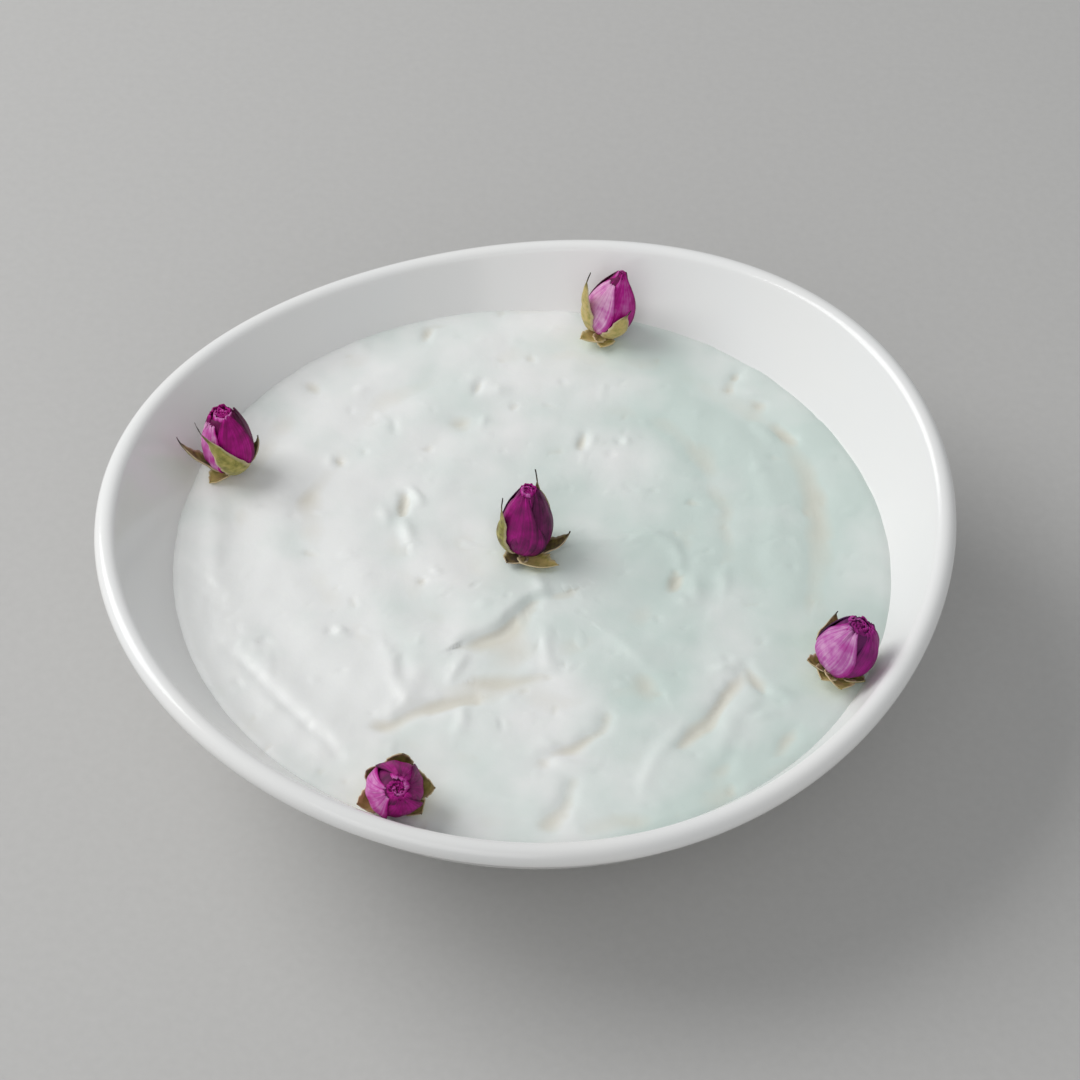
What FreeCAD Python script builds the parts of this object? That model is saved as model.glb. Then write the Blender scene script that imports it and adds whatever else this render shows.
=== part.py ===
"""A porcelain bowl of thick yogurt with five dried rose buds on it.

Millimetres, +Z up, origin on the table under the middle of the foot. The bowl is round in plan. Its wall
leans out at one slope and is cut to a wavy, fully rounded lip. The yogurt fills it to one level, and its
top keeps the marks of the spoon. Each bud sits a little way into the yogurt, which closes round it.
"""
import FreeCAD, Part
import math
import os

V = FreeCAD.Vector

# --- Bowl ---
foot_radius = 36.0
foot_width = 5.0
foot_height = 3.5
foot_round = 0.9
wall = 4.6                      # thickness all over; the lip is its full round
well_radius = 24.0              # flat middle of the inside
well_curve = 58.0               # radius of the curve from the flat middle up to the straight wall
flare = 0.68                    # how far the straight wall leans out for each millimetre it rises
rim_radius = 81.7               # middle of the lip, at the rim's mean height
rim_waves = [                   # height of each wave of the rim, and the side where it first peaks (degrees)
    (3.13, 118.0),
    (4.41, 26.0),
    (0.26, 40.0),
]

# --- Yogurt ---
yogurt_radius = 73.0            # where its level meets the wall
yogurt_gap = 0.05               # between the yogurt and the glaze
relief_margin = 5.0             # how far the relief is laid out past the yogurt's edge
relief_step = 2.0
swirl_centre = (4.0, 6.0)       # the spoon turned about this place
swirl_pitch = 15.0
swirl_depth = 0.2
spoon_marks = [                 # (line through these places, half width, height), a hollow is below zero
    ([(5, -8), (-2, -15), (-13, -23)], 1.7, -1.2),
    ([(2, -5), (-5, -12), (-15, -20)], 2.4, 0.7),
    ([(0, -28), (-11, -36), (-26, -44)], 2.8, -1.4),
    ([(-29, -27), (-27, -37), (-24, -45)], 2.6, 1.1),
    ([(16, -42), (11, -48), (6, -52)], 2.1, -1.0),
    ([(41, -34), (36, -41), (29, -48)], 2.3, -1.3),
    ([(45, -33), (40, -30), (37, -29)], 2.6, 0.8),
    ([(12, -60), (9, -64), (6, -67)], 2.0, -0.8),
    ([(7, -2), (16, 4), (25, 6), (31, 2), (31, -6)], 2.2, 0.8),
    ([(28, -7), (31, -8)], 1.8, -1.0),
    ([(51, 36), (57, 20), (57, -2), (54, -18)], 3.4, -0.7),
    ([(66, 6), (63, -7)], 2.2, -0.8),
    ([(41, 52), (46, 45), (53, 35)], 2.2, -0.9),
    ([(-70, 1), (-56, -25), (-42, -40), (-26, -52)], 5.0, 0.9),
    ([(-62, -28), (-50, -43), (-35, -57)], 2.0, -0.7),
    ([(-29, 14), (-27, 8), (-24, 1)], 2.2, 0.9),
    ([(-15, 49), (-9, 47)], 2.4, -0.7),
    ([(8, 33), (19, 33)], 2.4, -0.8),
]

# --- Rose buds ---
# The side of the bowl that the bud is on (degrees), how far out its base is, how far it is sunk below the
# yogurt's level, how far it leans from upright and towards which side, its length and width, and the turn
# of its petals. Each sepal is: side, how far out its tip stands, how high, and how far out it bulges.
buds = {
    "bud_centre": dict(
        side=144.5, out=1.7, sunk=0.6, lean=5, towards=80,
        length=17.5, width=11.2, turn=20,
        sepals=[(195, 5.8, 16.5, 7.6), (70, 2.0, 20.5, 7.4), (285, 8.2, 2.6, 6.6),
                (15, 9.0, 8.0, 7.8), (130, 5.6, 8.0, 7.4)]),
    "bud_back": dict(
        side=78.4, out=yogurt_radius - 6.1, sunk=0.2, lean=13, towards=15,
        length=17.5, width=10.2, turn=75,
        sepals=[(185, 8.4, 15.5, 8.2), (300, 6.2, 8.5, 7.0), (235, 7.6, 2.6, 5.6),
                (60, 5.0, 8.0, 6.6), (120, 5.6, 7.0, 6.6)]),
    "bud_left": dict(
        side=161.2, out=yogurt_radius - 7.1, sunk=0.0, lean=8, towards=150,
        length=16.5, width=11.4, turn=140,
        sepals=[(265, 6.4, 13.0, 7.8), (190, 10.4, 13.0, 8.8), (222, 7.2, 1.8, 5.0),
                (20, 5.2, 7.0, 7.2), (110, 5.6, 7.0, 7.2)]),
    "bud_right": dict(
        side=-25.3, out=yogurt_radius - 6.6, sunk=0.2, lean=24, towards=10,
        length=13.2, width=12.2, turn=200,
        sepals=[(180, 7.6, 3.4, 6.2), (250, 7.0, 2.6, 5.8), (105, 7.2, 9.5, 7.6),
                (315, 6.4, 4.0, 6.8), (30, 6.4, 6.0, 7.2)]),
    "bud_front": dict(
        side=-112.0, out=yogurt_radius - 6.6, sunk=-1.0, lean=38, towards=-80,
        length=12.6, width=10.8, turn=260,
        sepals=[(95, 7.2, 8.0, 7.0), (25, 7.0, 7.0, 7.0), (200, 8.2, 4.0, 6.6),
                (305, 4.6, 7.5, 5.4), (150, 6.2, 6.0, 6.6)]),
}
petal_lobes = 3                 # petals that show round the bud
petal_step = 0.05               # how far a petal stands out, as a share of the bud's radius
petal_twist = 70.0              # how far the petals wind from base to tip (degrees)
hip_radius = 2.1                # the green swelling under the petals
sepal_width = 3.4
sepal_thickness = 0.7
sepal_cupping = 0.5             # how far a sepal's edges turn in

# --- How finely the curved forms are laid out ---
ring_steps = 72
curve_steps = 10
straight_steps = 3
lip_steps = 10
bud_rings = 9
bud_ring_points = 18
sepal_stations = [0.0, 0.25, 0.5, 0.75, 0.96]

# --- What follows from those sizes ---
slope = math.atan2(1.0, flare)
along = (math.cos(slope), math.sin(slope))
inward = (-math.sin(slope), math.cos(slope))
floor_height = foot_height + wall
curve_end = (well_radius + well_curve * math.sin(slope), floor_height + well_curve * (1 - math.cos(slope)))
relief_reach = yogurt_radius + relief_margin


def glaze_height(radius):
    """Height of the inside of the wall at this radius."""
    if radius > curve_end[0]:
        return curve_end[1] + (radius - curve_end[0]) / flare
    return floor_height + well_curve - math.sqrt(well_curve ** 2 - (radius - well_radius) ** 2)


level = glaze_height(yogurt_radius)
rim_height = glaze_height(rim_radius - wall / 2 / math.sin(slope))


def rim_lift(angle):
    """How far the lip stands above its mean height at this side of the bowl (radians)."""
    return sum(height * math.cos(count * (angle - math.radians(peak)))
               for count, (height, peak) in enumerate(rim_waves, start=1))


def straight(start, end, weights):
    """Places along a straight stretch of wall, each with its share of the rim's lift."""
    return [(start[0] + (end[0] - start[0]) * w, start[1] + (end[1] - start[1]) * w, w) for w in weights]


def wall_outline():
    """(radius, height, share of the lift) from the flat well over the lip to the flat underside."""
    shares = [i / straight_steps for i in range(1, straight_steps)]
    turns = [slope * i / curve_steps for i in range(curve_steps + 1)]
    centre = floor_height + well_curve
    outer = well_curve + wall
    inside = [(well_radius + well_curve * math.sin(a), centre - well_curve * math.cos(a), 0.0) for a in turns]
    outside = [(well_radius + outer * math.sin(a), centre - outer * math.cos(a), 0.0) for a in turns]
    lip = []
    for i in range(lip_steps + 1):
        a = math.pi * i / lip_steps
        lip.append((rim_radius + wall / 2 * (inward[0] * math.cos(a) + along[0] * math.sin(a)),
                    rim_height + wall / 2 * (inward[1] * math.cos(a) + along[1] * math.sin(a)), 1.0))
    up = straight(inside[-1], lip[0], shares)
    down = straight(outside[-1], lip[-1], shares)
    return inside + up + lip + down[::-1] + outside[::-1]


def ring(radius, height, share):
    """One closed ring of places round the bowl."""
    places = []
    for i in range(ring_steps + 1):
        a = 2 * math.pi * (i % ring_steps) / ring_steps
        lift = rim_lift(a) * share
        r = radius + lift * flare
        places.append(V(r * math.cos(a), r * math.sin(a), height + lift))
    return places


def disc_on(face, height):
    """The flat disc that closes a face's edge at this height."""
    edges = [e for e in face.Edges if abs(e.BoundBox.ZMax - height) < 1e-4 and e.BoundBox.ZLength < 1e-3]
    return Part.Face(Part.Wire(edges))


def revolved(edges):
    return Part.Face(Part.Wire(edges)).revolve(V(0, 0, 0), V(0, 0, 1), 360)


def make_bowl():
    surface = Part.BSplineSurface()
    surface.interpolate([ring(*place) for place in wall_outline()])
    skin = surface.toShape()
    shell = Part.Shell([skin, disc_on(skin, floor_height), disc_on(skin, foot_height)])
    shell.sewShape()
    body = Part.Solid(shell)
    if body.Volume < 0:
        body.reverse()

    inner = foot_radius - foot_width
    top = foot_height + wall / 2
    rounding = foot_round * (1 - math.sin(math.pi / 4))
    corners = [V(inner, 0, top), V(inner, 0, foot_round), V(inner + foot_round, 0, 0),
               V(foot_radius - foot_round, 0, 0), V(foot_radius, 0, foot_round), V(foot_radius, 0, top)]
    foot = revolved([
        Part.LineSegment(corners[0], corners[1]).toShape(),
        Part.Arc(corners[1], V(inner + rounding, 0, rounding), corners[2]).toShape(),
        Part.LineSegment(corners[2], corners[3]).toShape(),
        Part.Arc(corners[3], V(foot_radius - rounding, 0, rounding), corners[4]).toShape(),
        Part.LineSegment(corners[4], corners[5]).toShape(),
        Part.LineSegment(corners[5], corners[0]).toShape(),
    ])
    return body.fuse(foot)


def distance_to_line(x, y, line):
    """Shortest distance from a place to a line of straight runs."""
    best = float("inf")
    for (ax, ay), (bx, by) in zip(line, line[1:]):
        dx, dy = bx - ax, by - ay
        t = max(0.0, min(1.0, ((x - ax) * dx + (y - ay) * dy) / (dx * dx + dy * dy)))
        best = min(best, math.hypot(x - ax - t * dx, y - ay - t * dy))
    return best


def relief(x, y):
    """Height of the yogurt's top above its level."""
    dx, dy = x - swirl_centre[0], y - swirl_centre[1]
    out = math.hypot(dx, dy)
    height = swirl_depth * math.sin(2 * math.pi * out / swirl_pitch + math.atan2(dy, dx))
    height *= min(1.0, out / swirl_pitch)
    for line, half_width, rise in spoon_marks:
        height += rise * math.exp(-(distance_to_line(x, y, line) / half_width) ** 2)
    return height


def make_yogurt():
    """The yogurt before the buds are pressed into it."""
    count = int(2 * relief_reach / relief_step) + 1
    side = [-relief_reach + i * relief_step for i in range(count)]
    top = Part.BSplineSurface()
    top.interpolate([[V(x, y, level + relief(x, y)) for y in side] for x in side])
    under_top = top.toShape().extrude(V(0, 0, -2 * level))

    curve = well_curve - yogurt_gap
    centre = floor_height + well_curve
    bottom = centre - curve
    spill = rim_height
    end = V(well_radius + curve * math.sin(slope), 0, centre - curve * math.cos(slope))
    half = slope / 2
    middle = V(well_radius + curve * math.sin(half), 0, centre - curve * math.cos(half))
    brim = V(end.x + (spill - end.z) * flare, 0, spill)
    filling = revolved([
        Part.LineSegment(V(0, 0, bottom), V(well_radius, 0, bottom)).toShape(),
        Part.Arc(V(well_radius, 0, bottom), middle, end).toShape(),
        Part.LineSegment(end, brim).toShape(),
        Part.LineSegment(brim, V(0, 0, spill)).toShape(),
        Part.LineSegment(V(0, 0, spill), V(0, 0, bottom)).toShape(),
    ])
    return filling.common(under_top)


def bud_radius(share, width):
    """Radius of a bud at this share of its length: full below the middle, drawn in to a blunt point."""
    return width / 2 * math.sin(math.pi * share ** 0.66) ** 0.82


def petals(length, width):
    """The closed petals: rings with a few overlapping folds that wind towards the tip."""
    wires = []
    for i in range(bud_rings):
        share = 0.03 + 0.94 * i / (bud_rings - 1)
        r = bud_radius(share, width)
        points = []
        for j in range(bud_ring_points):
            a = 2 * math.pi * j / bud_ring_points
            fold = math.cos(petal_lobes * (a - math.radians(petal_twist) * share))
            reach = r * (1 + petal_step * fold)
            points.append(V(reach * math.cos(a), reach * math.sin(a), length * share))
        curve = Part.BSplineCurve()
        curve.interpolate(points, PeriodicFlag=True)
        wires.append(Part.Wire([curve.toShape()]))
    return Part.makeLoft(wires, True)


def sepal(side, reach, rise, bulge):
    """One green sepal: a thin cupped leaf from under the hip, out past the petals, up to a fine point."""
    start, elbow, tip = V(0.6, 0, 0.6), V(bulge, 0, 0.22 * rise), V(reach, 0, rise)
    wires = []
    for t in sepal_stations:
        place = start * (1 - t) ** 2 + elbow * (2 * t * (1 - t)) + tip * t ** 2
        heading = (elbow - start) * (1 - t) + (tip - elbow) * t
        out = V(heading.z, 0, -heading.x).normalize()
        half = sepal_width / 2 * (0.15 + 0.85 * math.sin(math.pi * min(1.0, 0.12 + 0.88 * t)) ** 0.8)
        half *= 1 - 0.35 * t
        thick = sepal_thickness / 2 * (1 - 0.5 * t)
        edge = place - out * sepal_cupping * half / sepal_width * 2
        left, right = edge - V(0, half, 0), edge + V(0, half, 0)
        outer = Part.Arc(left, place + out * thick, right).toShape()
        inner = Part.Arc(right, place - out * thick, left).toShape()
        wires.append(Part.Wire([outer, inner]))
    leaf = Part.makeLoft(wires, True)
    leaf.rotate(V(0, 0, 0), V(0, 0, 1), side)
    return leaf


def make_bud(side, out, sunk, lean, towards, length, width, turn, sepals):
    flower = petals(length, width)
    flower.rotate(V(0, 0, 0), V(0, 0, 1), turn)
    leaves = [sepal(facing - towards, *form) for facing, *form in sepals]
    hip = Part.makeSphere(hip_radius, V(0, 0, hip_radius * 0.7))
    bud = flower.fuse([hip] + leaves)
    bud.rotate(V(0, 0, 0), V(0, 1, 0), lean)
    bud.rotate(V(0, 0, 0), V(0, 0, 1), towards)
    around = math.radians(side)
    bud.translate(V(out * math.cos(around), out * math.sin(around), level - sunk))
    return bud


def main():
    os.makedirs("parts", exist_ok=True)
    flowers = {name: make_bud(**sizes) for name, sizes in buds.items()}
    yogurt = make_yogurt().cut(list(flowers.values()))
    for name, shape in {"bowl": make_bowl(), "yogurt": yogurt, **flowers}.items():
        print(name, shape.isValid(), len(shape.Solids), round(shape.Volume / 1000, 2), "cm3", shape.BoundBox)
        shape.exportStep(f"parts/{name}.step")


main()
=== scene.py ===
"""A white porcelain bowl of thick yogurt with five dried rose buds laid on it. Metres, +Z up."""
import math

import bpy
import numpy as np
from mathutils import Matrix, Vector, noise


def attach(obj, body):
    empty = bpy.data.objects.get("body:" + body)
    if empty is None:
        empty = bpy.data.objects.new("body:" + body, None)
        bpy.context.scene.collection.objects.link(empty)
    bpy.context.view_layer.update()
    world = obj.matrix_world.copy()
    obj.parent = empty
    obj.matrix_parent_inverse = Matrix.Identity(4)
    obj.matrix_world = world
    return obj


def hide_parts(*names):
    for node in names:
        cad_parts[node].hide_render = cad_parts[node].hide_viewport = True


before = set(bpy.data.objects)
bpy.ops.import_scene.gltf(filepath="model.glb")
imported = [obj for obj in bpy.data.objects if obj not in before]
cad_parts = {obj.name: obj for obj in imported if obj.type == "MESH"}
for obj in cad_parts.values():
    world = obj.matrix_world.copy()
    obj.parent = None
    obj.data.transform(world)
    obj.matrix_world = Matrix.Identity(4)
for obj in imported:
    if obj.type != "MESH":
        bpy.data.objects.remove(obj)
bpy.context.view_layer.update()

# --- Bowl ---
# A bowl of hard porcelain, slip cast with one wall thickness from the foot to a fully rounded, wavy lip.
# It is dipped in a clear glaze and fired white, with only the underside of the foot ring wiped bare.
MM = 0.001
wall = 4.6 * MM
foot_radius = 36.0 * MM
foot_width = 5.0 * MM
foot_height = 3.5 * MM
foot_round = 0.9 * MM
well_radius = 24.0 * MM
well_curve = 58.0 * MM
flare = 0.68                    # how far the straight wall leans out for each metre it rises
rim_radius = 81.7 * MM
# The rim rises and falls in three waves, of one, two and three peaks: (height, side of a peak in degrees).
rim_waves = ((3.13 * MM, 118.0), (4.41 * MM, 26.0), (0.26 * MM, 40.0))
bowl_sides = 288

slope = math.atan2(1.0, flare)
floor_height = foot_height + wall
curve_centre = (well_radius, floor_height + well_curve)


def arc(centre, radius, start, end, steps, share=0.0):
    """(radius, height, share of the rim's lift) along an arc; its angles are from straight down."""
    turns = [start + (end - start) * i / steps for i in range(steps + 1)]
    return [(centre[0] + radius * math.sin(a), centre[1] - radius * math.cos(a), share) for a in turns]


def run(start, end, steps):
    """Places between two ends of a straight run, without the ends."""
    return [tuple(a + (b - a) * i / steps for a, b in zip(start, end)) for i in range(1, steps)]


def glaze_height(radius):
    """Height of the inside of the wall at this radius."""
    if radius > curve_centre[0] + well_curve * math.sin(slope):
        end = curve_centre[1] - well_curve * math.cos(slope)
        return end + (radius - curve_centre[0] - well_curve * math.sin(slope)) / flare
    return curve_centre[1] - math.sqrt(well_curve ** 2 - (radius - well_radius) ** 2)


def bowl_outline():
    """From the middle of the inside, over the lip, round the foot ring, to the middle of the underside."""
    lip_centre = (rim_radius, glaze_height(rim_radius - wall / 2 / math.sin(slope)))
    outer = well_curve + wall
    at_foot = math.asin((foot_radius - well_radius) / outer)
    in_foot = math.asin((foot_radius - foot_width - well_radius) / outer)
    inside = arc(curve_centre, well_curve, 0.0, slope, 40)
    lip = arc(lip_centre, wall / 2, slope + math.pi, slope, 28, 1.0)
    outside = arc(curve_centre, outer, slope, at_foot, 34)
    foot = arc((foot_radius - foot_round, foot_round), foot_round, math.pi / 2, 0.0, 6)
    foot += arc((foot_radius - foot_width + foot_round, foot_round), foot_round, 0.0, -math.pi / 2, 6)
    under = arc(curve_centre, outer, in_foot, 0.0, 6)
    middle = run((0.0, floor_height, 0.0), inside[0], 8)
    up = run(inside[-1], lip[0], 12)
    down = run(lip[-1], outside[0], 12)
    return ([(0.0, floor_height, 0.0)] + middle + inside + up + lip + down + outside + foot + under
            + run(under[-1], (0.0, foot_height, 0.0), 6) + [(0.0, foot_height, 0.0)])


def linear(hex_colour):
    """The linear colour of an sRGB hex value."""
    parts = [int(hex_colour[i:i + 2], 16) / 255 for i in (1, 3, 5)]
    return [c / 12.92 if c <= 0.04045 else ((c + 0.055) / 1.055) ** 2.4 for c in parts] + [1.0]


def add(tree, kind, inputs=(), **settings):
    """Adds a node and returns its outputs. Each of its inputs takes a value or another node's output."""
    node = tree.nodes.new(kind)
    for name, value in settings.items():
        setattr(node, name, value)
    for socket, source in dict(inputs).items():
        if isinstance(source, bpy.types.NodeSocket):
            tree.links.new(source, node.inputs[socket])
        else:
            node.inputs[socket].default_value = source
    return node.outputs


def new_material(name):
    """An empty node material and its tree."""
    material = bpy.data.materials.new(name)
    material.use_nodes = True
    material.node_tree.nodes.clear()
    return material, material.node_tree


def swept_wall_tree():
    """Sweeps an outline of places with a reach, a height and a share of the rim's waves once round."""
    tree = bpy.data.node_groups.new("Swept wall with a wavy rim", "GeometryNodeTree")
    face = tree.interface
    face.new_socket("Outline", in_out="INPUT", socket_type="NodeSocketGeometry")
    face.new_socket("Sides", in_out="INPUT", socket_type="NodeSocketInt")
    face.new_socket("Flare", in_out="INPUT", socket_type="NodeSocketFloat")
    for count in (1, 2, 3):
        face.new_socket(f"Height of wave {count}", in_out="INPUT", socket_type="NodeSocketFloat")
        face.new_socket(f"Peak of wave {count}", in_out="INPUT", socket_type="NodeSocketFloat")
    face.new_socket("Material", in_out="INPUT", socket_type="NodeSocketMaterial")
    face.new_socket("Wall", in_out="OUTPUT", socket_type="NodeSocketGeometry")
    given = add(tree, "NodeGroupInput")

    def calc(operation, first, second=0.0):
        return add(tree, "ShaderNodeMath", {0: first, 1: second}, operation=operation)[0]

    def attribute(name):
        return add(tree, "GeometryNodeInputNamedAttribute", {"Name": name}, data_type="FLOAT")[0]

    circle = add(tree, "GeometryNodeCurvePrimitiveCircle", {"Resolution": given["Sides"]})[0]
    turn = calc("DIVIDE", calc("MULTIPLY", add(tree, "GeometryNodeInputIndex")[0], math.tau), given["Sides"])
    circle = add(tree, "GeometryNodeStoreNamedAttribute", {"Geometry": circle, "Name": "turn", "Value": turn},
                 data_type="FLOAT", domain="POINT")[0]
    outline = add(tree, "GeometryNodeMeshToCurve", {"Mesh": given["Outline"]})[0]
    swept = add(tree, "GeometryNodeCurveToMesh", {"Curve": circle, "Profile Curve": outline})[0]
    angle = attribute("turn")
    lift = None
    for count in (1, 2, 3):
        from_peak = calc("SUBTRACT", angle, given[f"Peak of wave {count}"])
        wave = calc("MULTIPLY", calc("COSINE", calc("MULTIPLY", from_peak, float(count))),
                    given[f"Height of wave {count}"])
        lift = wave if lift is None else calc("ADD", lift, wave)
    lift = calc("MULTIPLY", lift, attribute("share"))
    reach = calc("ADD", attribute("reach"), calc("MULTIPLY", lift, given["Flare"]))
    place = add(tree, "ShaderNodeCombineXYZ", {
        "X": calc("MULTIPLY", reach, calc("COSINE", angle)),
        "Y": calc("MULTIPLY", reach, calc("SINE", angle)),
        "Z": calc("ADD", attribute("height"), lift)})[0]
    placed = add(tree, "GeometryNodeSetPosition", {"Geometry": swept, "Position": place})[0]
    closed = add(tree, "GeometryNodeMergeByDistance", {"Geometry": placed, "Distance": 0.001 * MM})[0]
    smooth = add(tree, "GeometryNodeSetShadeSmooth", {"Geometry": closed})[0]
    real = add(tree, "GeometryNodeRealizeInstances", {"Geometry": smooth})[0]
    finished = add(tree, "GeometryNodeSetMaterial", {"Geometry": real, "Material": given["Material"]})[0]
    add(tree, "NodeGroupOutput", {"Wall": finished})
    return tree


def glazed_porcelain():
    """Glazed porcelain: even, dense white under a clear coat of glass, so soft lights show in it as broad,
    slightly wavering reflections. Bare biscuit, creamy and matt, shows only where the foot ring was wiped."""
    material, tree = new_material("Glazed white porcelain")
    place = add(tree, "ShaderNodeTexCoord")["Object"]
    cloud = add(tree, "ShaderNodeTexNoise", {"Vector": place, "Scale": 1 / (30 * MM), "Detail": 2.0})["Fac"]
    white = add(tree, "ShaderNodeMix", {"Factor": cloud, 6: linear("#EDEEEE"), 7: linear("#F2F1EE")},
                data_type="RGBA")[2]
    height = add(tree, "ShaderNodeSeparateXYZ", {0: place})["Z"]
    bare = add(tree, "ShaderNodeMapRange", {"Value": height, "From Min": 0.45 * MM, "From Max": 0.25 * MM})[0]
    colour = add(tree, "ShaderNodeMix", {"Factor": bare, 6: white, 7: linear("#E2D9C8")}, data_type="RGBA")[2]
    specks = add(tree, "ShaderNodeTexNoise", {"Vector": place, "Scale": 1 / (1.2 * MM), "Detail": 3.0})["Fac"]
    gloss = add(tree, "ShaderNodeMapRange", {"Value": specks, "To Min": 0.13, "To Max": 0.19})[0]
    rough = add(tree, "ShaderNodeMix", {"Factor": bare, 2: gloss, 3: 0.85})[0]
    ripple = add(tree, "ShaderNodeTexNoise", {"Vector": place, "Scale": 1 / (5 * MM), "Detail": 1.0})["Fac"]
    bump = add(tree, "ShaderNodeBump", {"Height": ripple, "Strength": 0.05, "Distance": 0.4 * MM})[0]
    shader = add(tree, "ShaderNodeBsdfPrincipled", {
        "Base Color": colour, "Roughness": rough, "Normal": bump, "IOR": 1.5})[0]
    add(tree, "ShaderNodeOutputMaterial", {"Surface": shader})
    return material


def mesh_piece(name, places, faces, attributes=()):
    """An object at the origin with its shape in its mesh, and with any values that its vertices carry."""
    mesh = bpy.data.meshes.new(name)
    mesh.from_pydata([tuple(p) for p in places], [], [tuple(f) for f in faces])
    for label, values in dict(attributes).items():
        mesh.attributes.new(label, "FLOAT", "POINT").data.foreach_set("value", values)
    mesh.shade_smooth()
    piece = bpy.data.objects.new(name, mesh)
    bpy.context.scene.collection.objects.link(piece)
    return piece


def make_bowl():
    """Gives the outline to the sweep and keeps the result as a plain mesh."""
    outline = bowl_outline()
    mesh = bpy.data.meshes.new("Bowl outline")
    edges = [(i, i + 1) for i in range(len(outline) - 1)]
    mesh.from_pydata([(reach, 0.0, height) for reach, height, share in outline], edges, [])
    for place, label in enumerate(("reach", "height", "share")):
        values = [point[place] for point in outline]
        mesh.attributes.new(label, "FLOAT", "POINT").data.foreach_set("value", values)
    source = bpy.data.objects.new("Bowl outline", mesh)
    bpy.context.scene.collection.objects.link(source)
    sweep = source.modifiers.new("Sweep", "NODES")
    sweep.node_group = swept_wall_tree()
    sizes = {"Sides": bowl_sides, "Flare": flare, "Material": glazed_porcelain()}
    for count, (height, peak) in enumerate(rim_waves, start=1):
        sizes[f"Height of wave {count}"] = height
        sizes[f"Peak of wave {count}"] = math.radians(peak)
    for socket in sweep.node_group.interface.items_tree:
        if socket.name in sizes:
            sweep[socket.identifier] = sizes[socket.name]
    seen = source.evaluated_get(bpy.context.evaluated_depsgraph_get())
    bowl = bpy.data.objects.new("bowl_porcelain", bpy.data.meshes.new_from_object(seen))
    bpy.context.scene.collection.objects.link(bowl)
    bpy.data.objects.remove(source)
    return bowl


bowl = make_bowl()
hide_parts("bowl")
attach(bowl, "root")

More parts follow.
